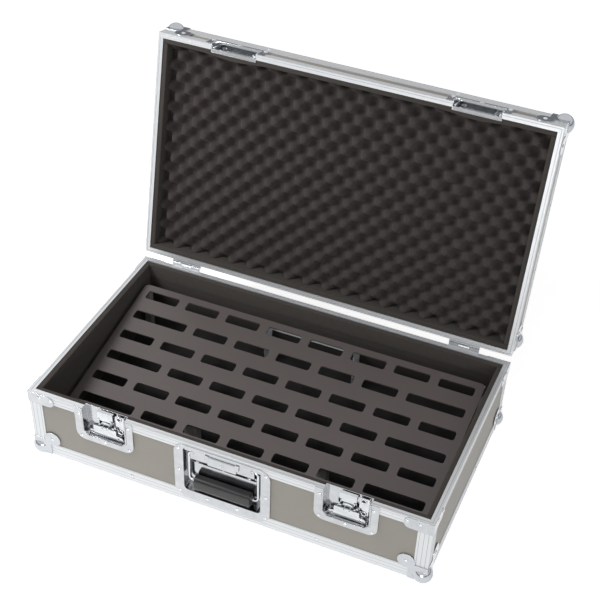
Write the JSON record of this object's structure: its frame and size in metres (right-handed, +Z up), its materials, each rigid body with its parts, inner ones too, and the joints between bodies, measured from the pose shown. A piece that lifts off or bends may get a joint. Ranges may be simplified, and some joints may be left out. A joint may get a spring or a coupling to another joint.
{
  "type": "guitar pedal case",
  "caption": "Aluminium-edged flight case with an open hinged lid, foam linings, recessed latches and handle, and a slotted pedal board on legs inside.",
  "frame": {"origin": "middle of the case's footprint, on the plane that the ball corners stand on", "axes": "+X to the right as seen from the front, +Y back towards the hinges, +Z up; the lid is drawn open"},
  "size_m": [0.7566, 0.5956, 0.5799],
  "materials": {
    "laminate": "fine pebbled grey laminate",
    "profile_aluminium": "satin anodised with fine lengthwise ribs",
    "plated_steel": "bright zinc-plated pressed steel",
    "rivet_steel": "bright domed steel",
    "lining_foam": "dark charcoal foam",
    "egg_crate_foam": "dark open-cell foam",
    "grip_rubber": "moulded black rubber",
    "board_paint": "satin grey-brown paint",
    "leg_paint": "satin light grey paint"
  },
  "bodies": {
    "base": {"base_bottom_panel": "laminate", "base_front_panel": "laminate", "base_back_panel": "laminate", "base_left_panel": "laminate", "base_right_panel": "laminate", "base_edge_profiles": "profile_aluminium", "base_corner_profiles": "profile_aluminium", "base_rim_front": "profile_aluminium", "base_rim_right": "profile_aluminium", "base_rim_back": "profile_aluminium", "base_rim_left": "profile_aluminium", "base_ball_corners": "plated_steel", "base_rim_braces": "plated_steel", "base_rivets": "rivet_steel", "base_wall_lining": "lining_foam", "base_floor_lining": "lining_foam", "latch_dish_left": "plated_steel", "latch_dish_right": "plated_steel", "latch_mount_left": "plated_steel", "latch_mount_right": "plated_steel", "handle_dish": "plated_steel", "handle_cover_plate": "plated_steel", "handle_springs": "plated_steel", "pedal_board": "board_paint", "board_legs": "leg_paint", "under_board_bracket": "plated_steel", "hinge_base_leaves": "plated_steel", "hinge_pins": "rivet_steel"},
    "lid": {"lid_top_panel": "laminate", "lid_front_panel": "laminate", "lid_back_panel": "laminate", "lid_left_panel": "laminate", "lid_right_panel": "laminate", "lid_edge_profiles": "profile_aluminium", "lid_corner_profiles": "profile_aluminium", "lid_rim_front": "profile_aluminium", "lid_rim_right": "profile_aluminium", "lid_rim_back": "profile_aluminium", "lid_rim_left": "profile_aluminium", "lid_ball_corners": "plated_steel", "lid_rivets": "rivet_steel", "lid_wall_lining": "lining_foam", "lid_foam": "egg_crate_foam", "keeper_dish_left": "plated_steel", "keeper_dish_right": "plated_steel", "hinge_lid_leaves": "plated_steel"},
    "rotor_left": {"latch_rotor_left": "plated_steel"},
    "wing_left": {"latch_wing_left": "plated_steel"},
    "draw_left": {"latch_draw_plate_left": "plated_steel"},
    "hook_left": {"latch_hook_left": "plated_steel"},
    "rotor_right": {"latch_rotor_right": "plated_steel"},
    "wing_right": {"latch_wing_right": "plated_steel"},
    "draw_right": {"latch_draw_plate_right": "plated_steel"},
    "hook_right": {"latch_hook_right": "plated_steel"},
    "handle": {"handle_bail": "plated_steel", "handle_grip": "grip_rubber"}
  },
  "joints": [
    {"name": "lid_hinge", "type": "hinge", "parent": "base", "child": "lid", "pos_m": [0, 0.2189, 0.1558], "axis": [1, 0, 0], "range_deg": [0, 103]},
    {"name": "latch_turn_left", "type": "hinge", "parent": "base", "child": "rotor_left", "pos_m": [-0.2228, -0.2075, 0.1145], "axis": [0, -1, 0], "range_deg": [0, 180]},
    {"name": "latch_fold_left", "type": "hinge", "parent": "rotor_left", "child": "wing_left", "pos_m": [-0.2228, -0.2111, 0.1145], "axis": [-1, 0, 0], "range_deg": [0, 90]},
    {"name": "latch_draw_left", "type": "slide", "parent": "base", "child": "draw_left", "axis": [0, 0, 1], "range_m": [0, 0.008]},
    {"name": "hook_tilt_left", "type": "hinge", "parent": "draw_left", "child": "hook_left", "pos_m": [-0.2228, -0.2063, 0.129], "axis": [1, 0, 0], "range_deg": [0, 12]},
    {"name": "latch_turn_right", "type": "hinge", "parent": "base", "child": "rotor_right", "pos_m": [0.2228, -0.2075, 0.1145], "axis": [0, -1, 0], "range_deg": [0, 180]},
    {"name": "latch_fold_right", "type": "hinge", "parent": "rotor_right", "child": "wing_right", "pos_m": [0.2228, -0.2111, 0.1145], "axis": [-1, 0, 0], "range_deg": [0, 90]},
    {"name": "latch_draw_right", "type": "slide", "parent": "base", "child": "draw_right", "axis": [0, 0, 1], "range_m": [0, 0.008]},
    {"name": "hook_tilt_right", "type": "hinge", "parent": "draw_right", "child": "hook_right", "pos_m": [0.2228, -0.2063, 0.129], "axis": [1, 0, 0], "range_deg": [0, 12]},
    {"name": "handle_swing", "type": "hinge", "parent": "base", "child": "handle", "pos_m": [0, -0.2067, 0.1245], "axis": [-1, 0, 0], "range_deg": [0, 90], "stiffness_Nm_per_rad": 0.3, "springref_deg": -22.92}
  ],
  "couplings": [
    {"joint": "latch_turn_left", "follows": "latch_draw_left", "rad_per_m": 392.69},
    {"joint": "latch_turn_right", "follows": "latch_draw_right", "rad_per_m": 392.69}
  ]
}
